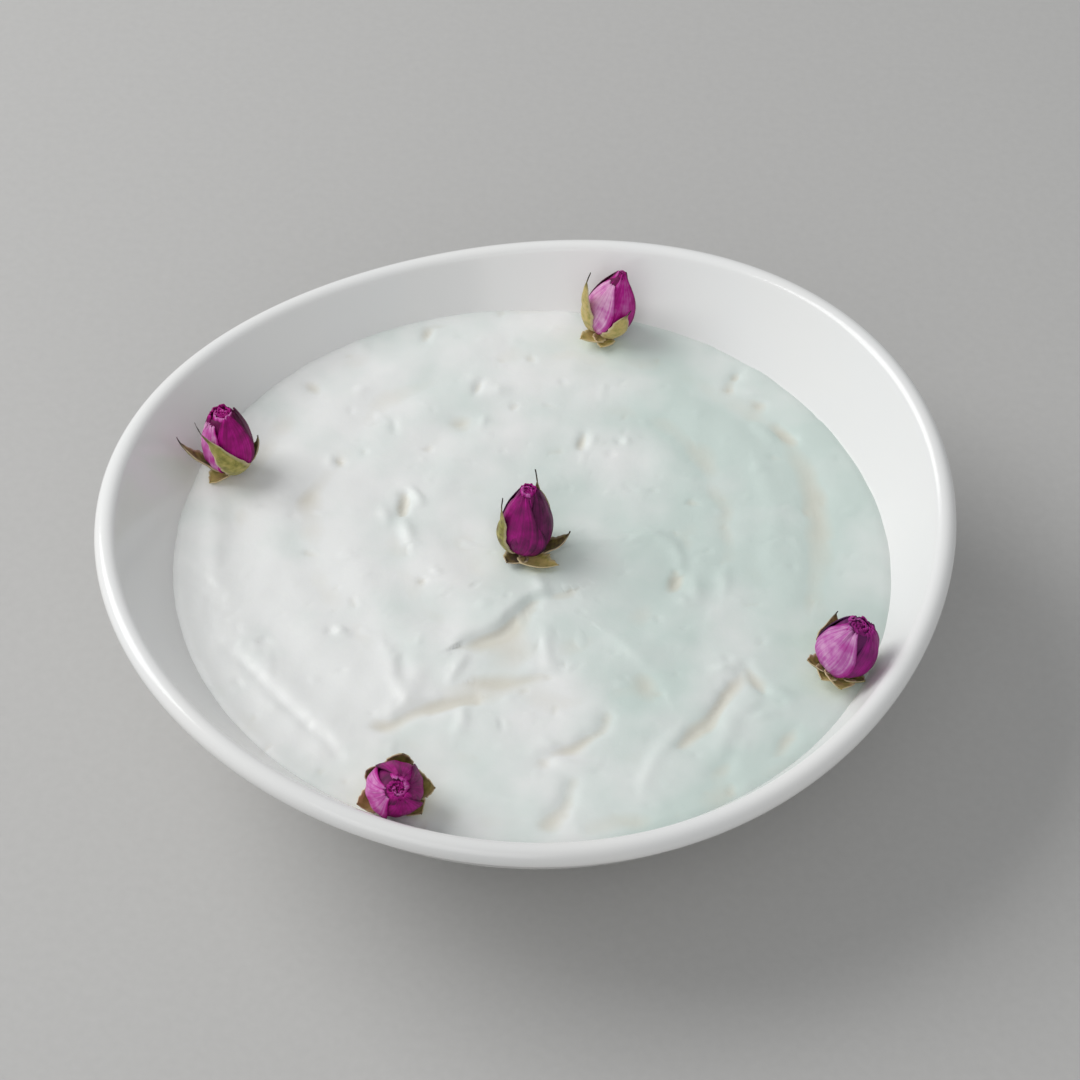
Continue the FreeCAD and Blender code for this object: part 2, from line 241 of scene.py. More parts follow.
# --- Yogurt ---
# Thick strained yogurt, spooned into the bowl and turned once with the back of the spoon. Its top keeps
# the broad swirl, a few sharp furrows with a raised lip, soft lumps, and a skin of moisture.
yogurt_radius = 73.0 * MM       # where its level meets the wall
into_wall = 1.2 * MM            # how far it reaches into the porcelain, so that no gap shows
edge_drop = 0.5 * MM            # how far its top rounds down to the wall
edge_round = 1.1 * MM
level = glaze_height(yogurt_radius)
swirl_centre = (4.0 * MM, 6.0 * MM)
swirl_pitch = 15.0 * MM
swirl_depth = 0.16 * MM
spoon_marks = [  # (line through these places in mm, half width, height, how much higher its left side stands)
    ([(6, -9), (0, -12), (-5, -18.5), (-13, -24)], 1.9, -0.2, -1.0),
    ([(0, -8), (-7, -13), (-13, -20)], 3.0, 0.45, 0),
    ([(-4, -24), (-6, -33)], 6.0, -0.5, 0),
    ([(-13, -27), (-15, -33)], 1.3, 0.55, 0),
    ([(-11, -38), (-20, -41), (-28, -44.5)], 1.7, -0.8, -0.2),
    ([(-25, -42), (-28, -43)], 1.5, 0.5, 0),
    ([(-12.5, -41), (-13, -47)], 1.2, 0.55, 0),
    ([(-28, -26), (-26.5, -33), (-24, -38)], 1.7, 0.6, -0.2),
    ([(1, -6), (3, -13)], 1.6, 0.5, 0),
    ([(3, -20), (4, -30)], 1.3, 0.4, 0),
    ([(6.5, -29), (7.5, -29)], 1.0, -0.4, 0),
    ([(29, -4), (29, -8)], 1.3, -0.9, 0),
    ([(33, -6), (33, -11)], 1.4, 0.45, 0),
    ([(30, -11), (31, -12)], 1.2, 0.4, 0),
    ([(38.5, -3), (38, -9)], 1.3, 0.4, 0.2),
    ([(23, -28), (23.5, -37)], 2.4, -0.35, 0),
    ([(15, -42), (13.5, -45.5), (9, -49.5), (3, -53)], 1.6, -0.8, 0),
    ([(4, -49), (6, -50)], 1.2, 0.3, 0),
    ([(41.5, -31), (39, -37), (35.5, -42), (30, -48)], 1.7, -0.9, 0.2),
    ([(45, -35), (40, -41.5), (37.5, -48)], 1.8, 0.55, 0),
    ([(42.5, -27.5), (46, -34)], 1.2, -0.6, 0),
    ([(37, -29), (39, -29.5)], 1.4, 0.6, 0),
    ([(47.5, -34), (50, -36)], 1.9, 0.5, 0),
    ([(9, -59), (7.5, -63), (5, -68)], 1.7, -0.75, 0),
    ([(39, -50), (36, -56)], 1.9, -0.55, 0),
    ([(44, -41), (47, -40)], 1.4, 0.6, 0),
    ([(52, -44), (49, -49)], 1.5, -0.5, 0.2),
    ([(28, -45), (24, -52), (22, -57)], 1.8, 0.4, 0.25),
    ([(-10, -34), (-2, -33), (6, -31)], 1.6, -0.45, 0.25),
    ([(-22, -30), (-23, -38)], 2.2, 0.55, 0),
    ([(2, -52), (12, -55)], 1.8, 0.45, 0.2),
    ([(14, -20), (22, -27), (26, -35)], 2.0, 0.3, 0.2),
    ([(-8, -62), (4, -64)], 2.0, 0.4, 0),
    ([(18, -66), (22, -66)], 2.0, -0.3, 0),
    ([(43, 54), (42, 52)], 1.6, -0.8, 0),
    ([(41, 50), (41, 49)], 1.3, -0.6, 0),
    ([(46.5, 46), (47.5, 44)], 1.4, -0.6, 0),
    ([(45, 48.5), (47, 47.5)], 1.1, 0.35, 0),
    ([(47, 38), (49, 35)], 1.5, 0.6, 0),
    ([(51, 38), (54, 34)], 1.4, -0.75, 0),
    ([(56, 32), (58.5, 18), (58.5, 4), (57, -8)], 3.2, -0.45, 0.2),
    ([(34, 30), (39.5, 16), (40, 0), (36, -13)], 2.8, -0.35, 0.2),
    ([(47, 26), (49.5, 12), (49, -2)], 2.4, 0.35, 0),
    ([(9.7, 34.5), (9.7, 31)], 1.1, -0.7, 0),
    ([(12, 33.5), (12, 31.5)], 1.1, 0.45, 0),
    ([(17, 33), (18, 32.5)], 0.9, -0.4, 0),
    ([(19.5, 33.5), (20, 32.5)], 0.9, 0.4, 0),
    ([(8, 2), (14, 4), (18, 5), (25, 6.5), (29, 4), (30.5, 0), (30, -3)], 1.6, 0.5, -0.3),
    ([(-24, 65), (-24.5, 61.5)], 1.0, -0.6, 0),
    ([(-12.5, 49.5), (-13, 46)], 1.1, -0.7, 0),
    ([(-9, 46.5), (-7, 47)], 1.3, 0.5, 0),
    ([(-17, 38), (-16, 36)], 1.7, -0.45, 0),
    ([(-11.5, 38), (-11.5, 36.5)], 1.0, 0.4, 0),
    ([(-30, 37), (-30, 33.5)], 1.0, -0.4, 0),
    ([(-40.5, 25.5), (-40.5, 24.5)], 1.0, -0.5, 0),
    ([(-42.5, 26), (-43, 23)], 1.1, 0.35, 0),
    ([(-49, 47), (-46.5, 44.5)], 1.4, -0.45, 0),
    ([(-45, 17), (-48.5, 12)], 2.0, -0.5, 0),
    ([(-27.3, 15.5), (-26.8, 11)], 1.1, -1.1, 0),
    ([(-25.5, 17), (-23.5, 13)], 1.0, 0.45, 0),
    ([(-30.5, 11), (-30, 8)], 1.2, 0.4, 0),
    ([(-26.5, 7.5), (-25.5, 2.5)], 1.4, 0.65, 0.3),
    ([(-66, 20), (-65, 8), (-64, -4), (-61, -14)], 2.4, 0.6, 0),
    ([(-57, -25), (-48, -36), (-37, -47)], 4.5, 0.8, 0),
    ([(-59, -28), (-52, -35.5), (-45, -43.5), (-36, -53)], 1.4, -0.55, 0),
    ([(-37.5, -21.5), (-36.5, -22.5)], 1.1, 0.6, 0),
    ([(-39.5, -22), (-39, -23)], 0.9, -0.4, 0),
    ([(-22.5, -7.5), (-22, -8.5)], 0.9, -0.4, 0),
    ([(-19.5, -4.5), (-19, -6)], 0.9, 0.35, 0),
]
beaten_edge = [(-66, -8), (-60, -20), (-53, -30)]  # a stretch near the wall that is finely beaten
beaten_reach = 5.0              # how far from that line, in mm
beaten_lumps = (0.20, 1.9, 23.0)                                # height and size in mm, seed
soft_lumps = [(0.24, 10.0, 3.0), (0.14, 5.0, 7.0)]              # the same, all over
lone_lumps = [(0.5, 4.0, 31.0, 0.42), (-0.8, 3.4, 37.0, 0.45)]  # the same, and how strong a lump has to be
depth_of_full_shade = 0.7 * MM         # a dip this deep gets the full painted shade
yogurt_sides = 600
yogurt_rings = 118


def nearest_on_line(x, y, line):
    """For each place, how far it is from a line, on which side, and how far along the line (0 to 1)."""
    best = np.full(x.shape, np.inf)
    side = np.zeros(x.shape)
    along = np.zeros(x.shape)
    lengths = [math.dist(a, b) for a, b in zip(line, line[1:])]
    passed = 0.0
    for (ax, ay), (bx, by), length in zip(line, line[1:], lengths):
        dx, dy = bx - ax, by - ay
        t = np.clip(((x - ax) * dx + (y - ay) * dy) / length ** 2, 0.0, 1.0)
        distance = np.hypot(x - ax - t * dx, y - ay - t * dy)
        nearer = distance < best
        side = np.where(nearer, np.sign(dx * (y - ay) - dy * (x - ax)), side)
        along = np.where(nearer, (passed + t * length) / sum(lengths), along)
        best = np.where(nearer, distance, best)
        passed += length
    return best, side, along


def lumps(x, y, size, seed):
    """Smooth noise from -1 to 1 with lumps of this size in metres."""
    return np.array([noise.noise(Vector((a / size, b / size, seed))) for a, b in zip(x, y)])


def yogurt_relief(x, y):
    """Height of the yogurt's top above its level at each place."""
    dx, dy = x - swirl_centre[0], y - swirl_centre[1]
    out = np.hypot(dx, dy)
    swirl = np.sin(math.tau * out / swirl_pitch + np.arctan2(dy, dx)) * np.minimum(1.0, out / swirl_pitch)
    height = swirl_depth * swirl * (1 + 1.2 * lumps(x, y, 28 * MM, 1.0))
    bent_x = x / MM + 1.1 * lumps(x, y, 6 * MM, 11.0)
    bent_y = y / MM + 1.1 * lumps(x, y, 6 * MM, 17.0)
    for line, half_width, rise, fold in spoon_marks:
        distance, side, along = nearest_on_line(bent_x, bent_y, line)
        across = distance / half_width
        strength = np.sin(math.pi * (0.2 + 0.6 * along))
        height += MM * strength * rise * np.exp(-across ** 2)
        height += MM * strength * fold * side * np.tanh(1.5 * across) * np.exp(-(across / 1.7) ** 2)
    near_edge = np.exp(-(nearest_on_line(bent_x, bent_y, beaten_edge)[0] / beaten_reach) ** 2)
    tall, size, seed = beaten_lumps
    height += tall * MM * near_edge * lumps(x, y, size * MM, seed)
    for tall, size, seed in soft_lumps:
        height += tall * MM * lumps(x, y, size * MM, seed)
    for tall, size, seed, least in lone_lumps:
        height += tall * MM * np.clip(lumps(x, y, size * MM, seed) - least, 0, 1)
    return height


def make_yogurt():
    """Rings from the middle of the top out into the wall, then down inside the wall to the flat bottom."""
    top_reach = yogurt_radius + into_wall / math.sin(slope)
    radii = [top_reach * i / yogurt_rings for i in range(1, yogurt_rings + 1)]
    turns = np.arange(yogurt_sides) * math.tau / yogurt_sides
    r = np.repeat(radii, yogurt_sides)
    a = np.tile(turns, yogurt_rings)
    x = np.append(0.0, r * np.cos(a))
    y = np.append(0.0, r * np.sin(a))
    r = np.append(0.0, r)
    from_edge = np.maximum(0.0, yogurt_radius - r)
    relief = yogurt_relief(x, y)
    z = level + relief - edge_drop * np.exp(-(from_edge / edge_round) ** 2)
    places = list(zip(x, y, z))
    buried = arc(curve_centre, well_curve + into_wall, slope, 0.0, 12)
    for reach, height, share in buried:
        places += [(reach * math.cos(t), reach * math.sin(t), height) for t in turns]
    places.append((0.0, 0.0, floor_height - into_wall))
    rings = yogurt_rings + len(buried)
    faces = [(0, 1 + i, 1 + (i + 1) % yogurt_sides) for i in range(yogurt_sides)]
    for ring in range(rings - 1):
        first = 1 + ring * yogurt_sides
        for i in range(yogurt_sides):
            j = (i + 1) % yogurt_sides
            faces.append((first + i, first + yogurt_sides + i, first + yogurt_sides + j, first + j))
    last = 1 + (rings - 1) * yogurt_sides
    faces += [(last + i, len(places) - 1, last + (i + 1) % yogurt_sides) for i in range(yogurt_sides)]
    # How deep each place lies in a dip of the relief; this sets its painted shade.
    hollow_shading = np.append(np.clip(-relief / depth_of_full_shade, 0, 1), np.zeros(len(places) - len(x)))
    return mesh_piece("yogurt_top", places, faces, {"hollow_shade": hollow_shading})


def thick_yogurt():
    """Thick yogurt: dense, milky and a little translucent, with a moist skin that gives broad soft
    highlights. Whey gives it a faint cool green cast. It turns whiter towards the left, partly its own tint
    and partly painted light, and its hollows are painted a darker beige as shade."""
    material, tree = new_material("Thick strained yogurt")
    place = add(tree, "ShaderNodeTexCoord")["Object"]
    cloud = add(tree, "ShaderNodeTexNoise", {"Vector": place, "Scale": 1 / (22 * MM), "Detail": 3.0})["Fac"]
    # Partly the yogurt's own tint and partly painted light: it turns whiter towards the left, where the light
    # comes from.
    left_tint_and_light = add(tree, "ShaderNodeMapRange", {
        "Value": add(tree, "ShaderNodeSeparateXYZ", {0: place})["X"], "From Min": 40 * MM,
        "From Max": -60 * MM, "To Min": -0.14, "To Max": 0.26})[0]
    cloud = add(tree, "ShaderNodeMath", {0: cloud, 1: left_tint_and_light}, operation="ADD")[0]
    tint = add(tree, "ShaderNodeMapRange", {"Value": cloud, "From Min": 0.28, "From Max": 0.68})[0]
    cast = add(tree, "ShaderNodeMix", {"Factor": tint, 6: linear("#D2DFD9"), 7: linear("#EEEFED")},
               data_type="RGBA")[2]
    # Painted shade: places deep in the relief's dips are mixed towards a darker beige.
    hollow_shade = add(tree, "ShaderNodeAttribute", attribute_name="hollow_shade")["Fac"]
    creamy = add(tree, "ShaderNodeMapRange", {"Value": hollow_shade, "From Min": 0.25, "To Max": 0.65})[0]
    colour = add(tree, "ShaderNodeMix", {"Factor": creamy, 6: cast, 7: linear("#D8D2C2")},
                 data_type="RGBA")[2]
    fine = add(tree, "ShaderNodeTexNoise", {"Vector": place, "Scale": 1 / (1.6 * MM), "Detail": 2.0})["Fac"]
    rough = add(tree, "ShaderNodeMapRange", {"Value": fine, "To Min": 0.28, "To Max": 0.46})[0]
    bump = add(tree, "ShaderNodeBump", {"Height": fine, "Strength": 0.12, "Distance": 0.3 * MM})[0]
    shader = add(tree, "ShaderNodeBsdfPrincipled", {
        "Base Color": colour, "Roughness": rough, "Normal": bump, "IOR": 1.36,
        "Subsurface Weight": 0.2, "Subsurface Radius": (1.0, 1.0, 0.95), "Subsurface Scale": 0.8 * MM})[0]
    add(tree, "ShaderNodeOutputMaterial", {"Surface": shader})
    return material


yogurt = make_yogurt()
yogurt.data.materials.append(thick_yogurt())
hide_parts("yogurt")
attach(yogurt, "root")

# --- Rose buds ---
# Five whole rose buds, picked before they opened and air dried: tight petals that shrank into ribs and
# crumpled at the tip, and dry green sepals, the long ones ending in a needle. Each stands a little way in.

# Sizes are in mm, angles in degrees, and out is from the bowl's middle. mouth is the radius of the blunt tip,
# belly the share of the length where a bud is widest, taper how early it draws in from there, ribs how high
# they stand, and violet how far its pink leans to violet. Petals are (facing, half angle, from and up to
# this share of the length, how far it stands out, colour value). A petal's colour value is partly its own
# colour and partly painted light: petals that face the light at the left get lighter values, those that face
# away darker ones. Sepals are (side, reach and height of the tip, bulge on the way there, width, how far it
# sweeps round, colour value).
bud_details = {
    "bud_centre": dict(
        side=144.5, out=1.7, sunk=0.6, lean=5, towards=80, violet=0.06,
        length=17.3, width=10.8, mouth=1.7, belly=0.38, taper=1.0, ribs=0.10,
        petals=[(85, 80, 0.02, 0.96, 0.0, 0.30), (335, 74, 0.02, 0.98, 0.15, 0.16),
                (222, 72, 0.04, 0.97, 0.40, 0.38), (266, 44, 0.03, 0.62, 0.50, 0.28)],
        sepals=[(208, 5.6, 16.5, 7.4, 4.8, -8, 0.50), (58, 3.0, 20.0, 6.4, 4.0, 0, 0.50),
                (292, 8.4, 1.5, 4.6, 6.4, 30, 0.95), (350, 8.8, 7.0, 7.6, 4.6, 6, 0.20),
                (238, 6.4, 1.6, 5.0, 5.0, 0, 0.12), (130, 5.6, 8.0, 7.4, 4.0, 0, 0.50)]),
    "bud_back": dict(
        side=78.4, out=66.9, sunk=0.2, lean=13, towards=15, violet=0.0,
        length=17.5, width=10.2, mouth=0.8, belly=0.36, taper=1.0, ribs=0.06,
        petals=[(80, 80, 0.02, 0.95, 0.0, 0.40), (345, 66, 0.02, 0.98, 0.10, 0.30),
                (285, 60, 0.04, 1.00, 0.30, 0.58), (206, 66, 0.02, 0.86, 0.50, 0.88)],
        sepals=[(206, 8.0, 18.5, 8.6, 5.4, 0, 0.86), (292, 6.4, 12.0, 5.6, 5.6, 14, 0.95),
                (240, 7.4, 1.6, 4.8, 5.0, -10, 1.00), (268, 6.6, 1.4, 4.8, 4.6, 0, 0.90),
                (60, 5.0, 8.0, 6.6, 4.0, 0, 0.40), (120, 5.6, 7.0, 6.6, 4.0, 0, 0.50)]),
    "bud_left": dict(
        side=161.2, out=65.9, sunk=0.0, lean=8, towards=150, violet=0.0,
        length=16.0, width=10.6, mouth=2.4, belly=0.40, taper=0.85, ribs=0.10,
        petals=[(85, 80, 0.02, 0.95, 0.0, 0.25), (350, 66, 0.02, 0.98, 0.10, 0.16),
                (290, 54, 0.04, 0.99, 0.30, 0.46), (208, 54, 0.02, 0.90, 0.50, 0.80)],
        sepals=[(298, 6.0, 16.0, 6.0, 5.8, -88, 0.62), (203, 10.2, 13.5, 8.4, 4.8, 0, 0.42),
                (228, 7.0, 1.5, 4.8, 4.6, 0, 0.95), (20, 5.2, 7.0, 7.2, 4.0, 0, 0.40),
                (110, 5.6, 7.0, 7.2, 4.0, 0, 0.50)]),
    "bud_right": dict(
        side=-25.3, out=66.4, sunk=0.2, lean=20, towards=20, violet=0.20,
        length=12.8, width=12.0, mouth=2.6, belly=0.42, taper=0.72, ribs=0.08,
        petals=[(85, 80, 0.02, 0.95, 0.0, 0.30), (5, 62, 0.02, 0.99, 0.15, 0.24),
                (318, 54, 0.02, 1.00, 0.20, 0.46), (212, 60, 0.02, 0.99, 0.60, 0.82)],
        sepals=[(200, 7.4, 2.4, 5.4, 5.0, 0, 0.60), (264, 7.2, 1.8, 5.2, 6.4, 10, 0.85),
                (116, 7.0, 9.6, 7.6, 6.2, 0, 0.80), (315, 6.4, 3.0, 6.0, 4.4, 0, 0.50),
                (232, 7.2, 1.8, 5.2, 5.0, 0, 0.75), (30, 6.4, 6.0, 7.2, 4.0, 0, 0.40)]),
    "bud_front": dict(
        side=-112.0, out=66.4, sunk=-1.0, lean=38, towards=-80, violet=0.05,
        length=12.6, width=10.8, mouth=2.0, belly=0.44, taper=0.72, ribs=0.08,
        petals=[(60, 76, 0.02, 0.97, 0.0, 0.40), (350, 66, 0.02, 0.97, 0.10, 0.32),
                (278, 56, 0.04, 0.98, 0.30, 0.50), (194, 62, 0.02, 0.96, 0.50, 0.74)],
        sepals=[(85, 6.6, 6.6, 7.4, 5.6, 0, 0.55), (8, 7.4, 6.2, 7.0, 5.6, 0, 0.75),
                (208, 7.8, 4.4, 6.8, 5.2, 0, 0.92), (318, 7.0, 5.0, 6.6, 5.4, 0, 0.80),
                (150, 6.2, 6.0, 6.6, 4.4, 0, 0.50)]),
}
petal_thickness = 0.25
petal_twist = 24.0              # how far a petal winds from its foot to its top (degrees)
petal_grid = (30, 22)           # rows along a petal and places across it
sepal_grid = (34, 11)
sepal_thickness = 0.4
sepal_cupping = 0.36            # how far a sepal's edges turn in, as a share of its half width
mouth_folds = 9                 # small inner petals that close the tip
needle = 0.14                   # half width of the needle at a sepal's end
hip_radius = 2.1                # the green swelling under the petals
core_share = 0.86               # how much of a bud's radius its closed core fills
petal_slot, sepal_slot = 0, 1   # which of the two finishes a face takes


def bud_radius(share, bud):
    """Radius of a bud at each share of its length: fullest low down, then drawn in to a blunt mouth."""
    full, mouth, belly = bud["width"] / 2, bud["mouth"], bud["belly"]
    below = full * np.sin(math.pi / 2 * np.clip(share / belly, 0.03, 1)) ** 0.7
    closing = np.cos(math.pi / 2 * np.clip((share - belly) / (1 - belly), 0, 1)) ** bud["taper"]
    return np.where(share < belly, below, mouth + (full - mouth) * closing)


def field(first, second, seed):
    """Smooth noise from -1 to 1 over two grids of numbers."""
    flat = [noise.noise(Vector((a, b, seed))) for a, b in zip(first.ravel(), second.ravel())]
    return np.array(flat).reshape(first.shape)


def petal(bud, number, facing, half_angle, low, high, lift, tone_and_shading):
    """A petal wrapped round the bud: one edge stands proud, the other is tucked in, the top is crumpled."""
    v, u = np.meshgrid(np.linspace(0, 1, petal_grid[0]), np.linspace(-1, 1, petal_grid[1]), indexing="ij")
    seed = bud["towards"] + 7.3 * number
    share = low + (high - low) * v
    outline = np.sin(math.pi * (0.14 + 0.76 * v)) ** 0.6
    angle = np.radians(facing - bud["towards"] + u * half_angle * outline + petal_twist * (v - 0.5))
    reach = bud_radius(share, bud) * 0.95 + lift * np.sin(math.pi * np.clip(v * 0.8 + 0.1, 0, 1))
    reach += 0.45 * u ** 3 * outline
    reach += bud["ribs"] * np.cos(13 * u + 2 * field(v * 2, u * 2, seed)) * np.sin(math.pi * v) ** 0.5
    reach += 0.30 * field(u * 2.2, v * 2.6, seed + 1) * (0.3 + 0.7 * v)
    margin = np.clip((v - 0.78) / 0.22, 0, 1)
    reach += margin * (0.40 * field(u * 4.5, v * 3.0, seed + 2) - 0.1) * (0.4 + 0.3 * bud["mouth"])
    height = bud["length"] * share + margin * 0.7 * field(u * 3.6, v * 1.0, seed + 3)
    grid = np.stack([reach * np.cos(angle), reach * np.sin(angle), height], axis=-1)
    # Painted shade: each petal is darkened towards its side edges, where it tucks against its neighbours.
    shade = tone_and_shading + 0.10 * field(u * 1.5, v * 1.5, seed + 4) - 0.22 * np.clip((np.abs(u) - 0.8) / 0.2, 0, 1)
    return grid, np.clip(shade, 0.02, 0.98), v, np.abs(u), np.full(v.shape, petal_thickness)


def mouth_petal(bud, number):
    """One of the small inner petals, rolled inside each other, whose crumpled edges fill the tip."""
    v, u = np.meshgrid(np.linspace(0, 1, 9), np.linspace(-1, 1, 21), indexing="ij")
    seed = bud["towards"] + 31.7 * number
    inner = number / mouth_folds
    share = 0.72 + (0.28 - 0.03 * inner) * v
    angle = np.radians(137.5 * number + u * (62 + 50 * inner))
    reach = bud_radius(share, bud) * 0.92 * (1 - 0.92 * inner)
    reach += v * 0.16 * bud["mouth"] * (0.7 * u + 2.0 * field(u * 3.2, v * 2.0, seed))
    height = bud["length"] * share + (0.2 + 0.16 * bud["mouth"]) * v * field(u * 2.8, v, seed + 1)
    grid = np.stack([np.abs(reach) * np.cos(angle), np.abs(reach) * np.sin(angle), height], axis=-1)
    shade = 0.26 + 0.30 * (number % 2) * (1 - inner) + 0.22 * np.clip((v - 0.7) / 0.3, 0, 1)
    return grid, shade, v, np.abs(u), np.full(v.shape, petal_thickness)


def sepal(bud, number, side, reach, rise, bulge, width, sweep, tone_and_shading):
    """A cupped leaf from under the hip, out past the petals and up, with a ragged edge and a needle tip."""
    t, u = np.meshgrid(np.linspace(0, 1, sepal_grid[0]), np.linspace(-1, 1, sepal_grid[1]), indexing="ij")
    seed = bud["towards"] + 17.9 * number
    start, elbow, tip = np.array((0.6, 0, 0.6)), np.array((bulge, 0, 0.28 * rise)), np.array((reach, 0, rise))
    t3 = t[..., None]
    place = start * (1 - t3) ** 2 + elbow * (2 * t3 * (1 - t3)) + tip * t3 ** 2
    heading = (elbow - start) * (1 - t3) + (tip - elbow) * t3
    out = np.stack([heading[..., 2], 0 * t, -heading[..., 0]], axis=-1)
    out /= np.linalg.norm(out, axis=-1, keepdims=True)
    leaf = width / 2 * np.sin(math.pi * np.clip((t + 0.16) / (1.16 - 0.006 * rise), 0, 1)) ** 0.8
    leaf *= 1 + 0.22 * field(t * 9, np.sign(u) * 2.0, seed)
    half = np.maximum(leaf, needle * (1.15 - t))
    share = place[..., 2] / bud["length"]
    hug = (bud_radius(share, bud) * 0.95 + 1.3) * np.clip(t * 6, 0, 1) * np.clip((0.98 - share) / 0.2, 0, 1)
    place[..., 0] = np.maximum(place[..., 0], hug)
    place -= out * (sepal_cupping * half * u ** 2)[..., None]
    place += out * (0.16 * field(u * 2, t * 5, seed + 1))[..., None]
    sway = 0.5 * np.sin(t * 4 + seed) * t
    place[..., 1] += u * half + sway
    turn = np.radians(side - bud["towards"] + sweep * t ** 2)
    grid = np.stack([place[..., 0] * np.cos(turn) - place[..., 1] * np.sin(turn),
                     place[..., 0] * np.sin(turn) + place[..., 1] * np.cos(turn), place[..., 2]], axis=-1)
    along = t * min(1.0, 0.78 + 0.02 * rise)
    return grid, np.full(t.shape, tone_and_shading), along, np.abs(u), sepal_thickness * (1 - 0.65 * t)


class Shape:
    """Collects the sheets and cores of one bud, with what each vertex carries."""

    def __init__(self):
        self.places, self.faces, self.kinds = [], [], []
        self.carried = {"tone_and_shading": [], "along": [], "across": []}

    def carry(self, tone_and_shading, along, across):
        for label, values in (("tone_and_shading", tone_and_shading), ("along", along), ("across", across)):
            self.carried[label] += list(np.ravel(values))

    def sheet(self, parts, kind):
        """A thin sheet over a grid of places, closed by a skin behind it and a strip round its edge."""
        grid, tone_and_shading, along, across, thickness = parts
        rows, columns = grid.shape[:2]
        normal = np.cross(np.gradient(grid, axis=1), np.gradient(grid, axis=0))
        normal /= np.maximum(np.linalg.norm(normal, axis=-1, keepdims=True), 1e-9)
        front = len(self.places) + np.arange(rows * columns).reshape(rows, columns)
        back = front + rows * columns
        self.places += list(grid.reshape(-1, 3)) + list((grid - normal * thickness[..., None]).reshape(-1, 3))
        for _ in range(2):
            self.carry(tone_and_shading, along, across)
        made = []
        for r in range(rows - 1):
            for c in range(columns - 1):
                made.append((front[r, c], front[r, c + 1], front[r + 1, c + 1], front[r + 1, c]))
                made.append((back[r, c], back[r + 1, c], back[r + 1, c + 1], back[r, c + 1]))
        border = [np.concatenate((skin[0], skin[1:, -1], skin[-1, -2::-1], skin[-2:0:-1, 0]))
                  for skin in (front, back)]
        over, under = border
        made += zip(np.roll(over, -1), over, under, np.roll(under, -1))
        self.faces += made
        self.kinds += [kind] * len(made)

    def core(self, radii, heights, tone_and_shading, kind):
        """A closed round body of rings about the bud's axis, with a point at each end."""
        turns = np.linspace(0, math.tau, 32, endpoint=False)
        first = len(self.places)
        for reach, height in zip(radii, heights):
            self.places += [np.array((reach * math.cos(t), reach * math.sin(t), height)) for t in turns]
        ends = (len(self.places), len(self.places) + 1)
        self.places += [np.array((0.0, 0.0, heights[0])), np.array((0.0, 0.0, heights[-1]))]
        count = len(radii) * len(turns) + 2
        self.carry([tone_and_shading] * count, [0.5] * count, [0.5] * count)
        made = []
        for i in range(len(turns)):
            j = (i + 1) % len(turns)
            made.append((ends[0], first + j, first + i))
            for ring in range(len(radii) - 1):
                low, high = first + ring * len(turns), first + (ring + 1) * len(turns)
                made.append((low + i, low + j, high + j, high + i))
            last = first + (len(radii) - 1) * len(turns)
            made.append((ends[1], last + i, last + j))
        self.faces += made
        self.kinds += [kind] * len(made)


def make_bud(name, bud):
    """Builds one bud upright in mm, then leans it, turns it and sets it in its place in the yogurt."""
    shape = Shape()
    shares = np.linspace(0.02, 0.95, 24)
    shape.core(bud_radius(shares, bud) * core_share, bud["length"] * shares, 0.26, petal_slot)
    for number, form in enumerate(bud["petals"]):
        shape.sheet(petal(bud, number, *form), petal_slot)
    for number in range(mouth_folds):
        shape.sheet(mouth_petal(bud, number), petal_slot)
    for number, form in enumerate(bud["sepals"]):
        shape.sheet(sepal(bud, number, *form), sepal_slot)
    bulge = np.linspace(0.04, 0.96, 12)
    shape.core(hip_radius * np.sin(math.pi * bulge) ** 0.6, hip_radius * (2 * bulge - 0.6), 0.35, sepal_slot)
    around = math.radians(bud["side"])
    base = Vector((bud["out"] * MM * math.cos(around), bud["out"] * MM * math.sin(around),
                   level - bud["sunk"] * MM))
    seat = (Matrix.Translation(base) @ Matrix.Rotation(math.radians(bud["towards"]), 4, "Z")
            @ Matrix.Rotation(math.radians(bud["lean"]), 4, "Y") @ Matrix.Scale(MM, 4))
    places = [seat @ Vector(p) for p in shape.places]
    shape.carried["violet"] = [bud["violet"]] * len(places)
    piece = mesh_piece("rose_" + name, places, shape.faces, shape.carried)
    piece.data.materials.append(dried_petal)
    piece.data.materials.append(dried_sepal)
    piece.data.polygons.foreach_set("material_index", shape.kinds)
    return piece


def ramp(tree, factor, stops):
    """A colour ramp from (position, hex colour) stops."""
    node = tree.nodes.new("ShaderNodeValToRGB")
    tree.links.new(factor, node.inputs[0])
    points = node.color_ramp.elements
    while len(points) < len(stops):
        points.new(0.5)
    for point, (position, colour) in zip(points, stops):
        point.position = position
        point.color = linear(colour)
    return node.outputs["Color"]


def carried(tree, name):
    """A number that each vertex carries."""
    return add(tree, "ShaderNodeAttribute", attribute_name=name)["Fac"]


